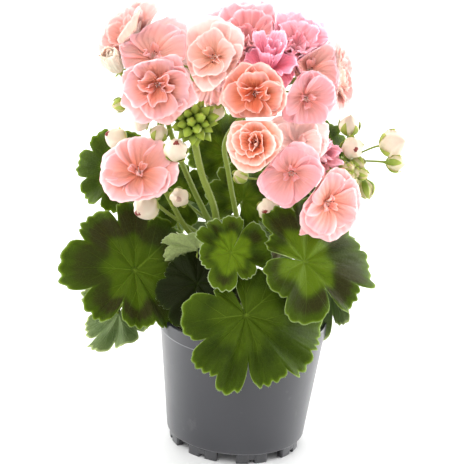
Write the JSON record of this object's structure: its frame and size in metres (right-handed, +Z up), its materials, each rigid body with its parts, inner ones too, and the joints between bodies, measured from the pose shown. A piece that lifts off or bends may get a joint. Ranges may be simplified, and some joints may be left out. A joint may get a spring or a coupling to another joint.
{
  "type": "potted zonal geranium",
  "caption": "Zonal geranium with round lobed leaves and upright heads of double salmon-pink blooms and buds, growing in a tapered round nursery pot.",
  "frame": {"origin": "centre of the pot's underside, on the surface the pot stands on", "axes": "+Z up along the pot's axis, -Y towards the plant's front, +X to the right seen from the front"},
  "size_m": [0.2544, 0.2036, 0.3399],
  "materials": {
    "pot": "satin, injection-moulded",
    "soil": "moist crumbly peat",
    "stem": "green to light brown, finely hairy",
    "leaf": "soft, velvety, with a dark zone",
    "stalk": "pale green, finely hairy, buds cream in green sepals",
    "petal": "satin, veined, salmon to pink with pale backs"
  },
  "bodies": {
    "root": {"pot": "pot", "soil": "soil", "stems": "stem", "leaf_left_front": "leaf", "leaf_left_high": "leaf", "leaf_left_low": "leaf", "leaf_front": "leaf", "leaf_young": "leaf", "leaf_right": "leaf", "leaf_right_low": "leaf", "leaf_pot_edge": "leaf", "leaf_pale": "leaf", "leaf_right_high": "leaf", "leaf_right_middle": "leaf", "leaf_middle_high": "leaf", "leaf_middle": "leaf", "leaf_left_middle": "leaf", "leaf_back_left": "leaf", "leaf_back": "leaf", "leaf_back_right": "leaf", "leaf_back_high": "leaf", "bloom_a_top_left": "petal", "bloom_a_top": "petal", "bloom_a_front": "petal", "bloom_a_half_open": "petal", "bloom_a_back": "petal", "bloom_b_left": "petal", "bloom_b_top": "petal", "bloom_b_middle": "petal", "bloom_b_top_right": "petal", "bloom_b_right": "petal", "bloom_b_far_right": "petal", "bloom_b_front": "petal", "bloom_b_front_right": "petal", "bloom_b_back_left": "petal", "bloom_b_back": "petal", "bloom_b_back_right": "petal", "bloom_c": "petal", "bloom_d_left": "petal", "bloom_d_front": "petal", "bloom_d_low": "petal", "bloom_d_top": "petal", "bloom_d_right": "petal", "stalks_a": "stalk", "stalks_b": "stalk", "stalks_c": "stalk", "stalks_d": "stalk", "stalks_e": "stalk", "stalks_f": "stalk"}
  },
  "joints": []
}
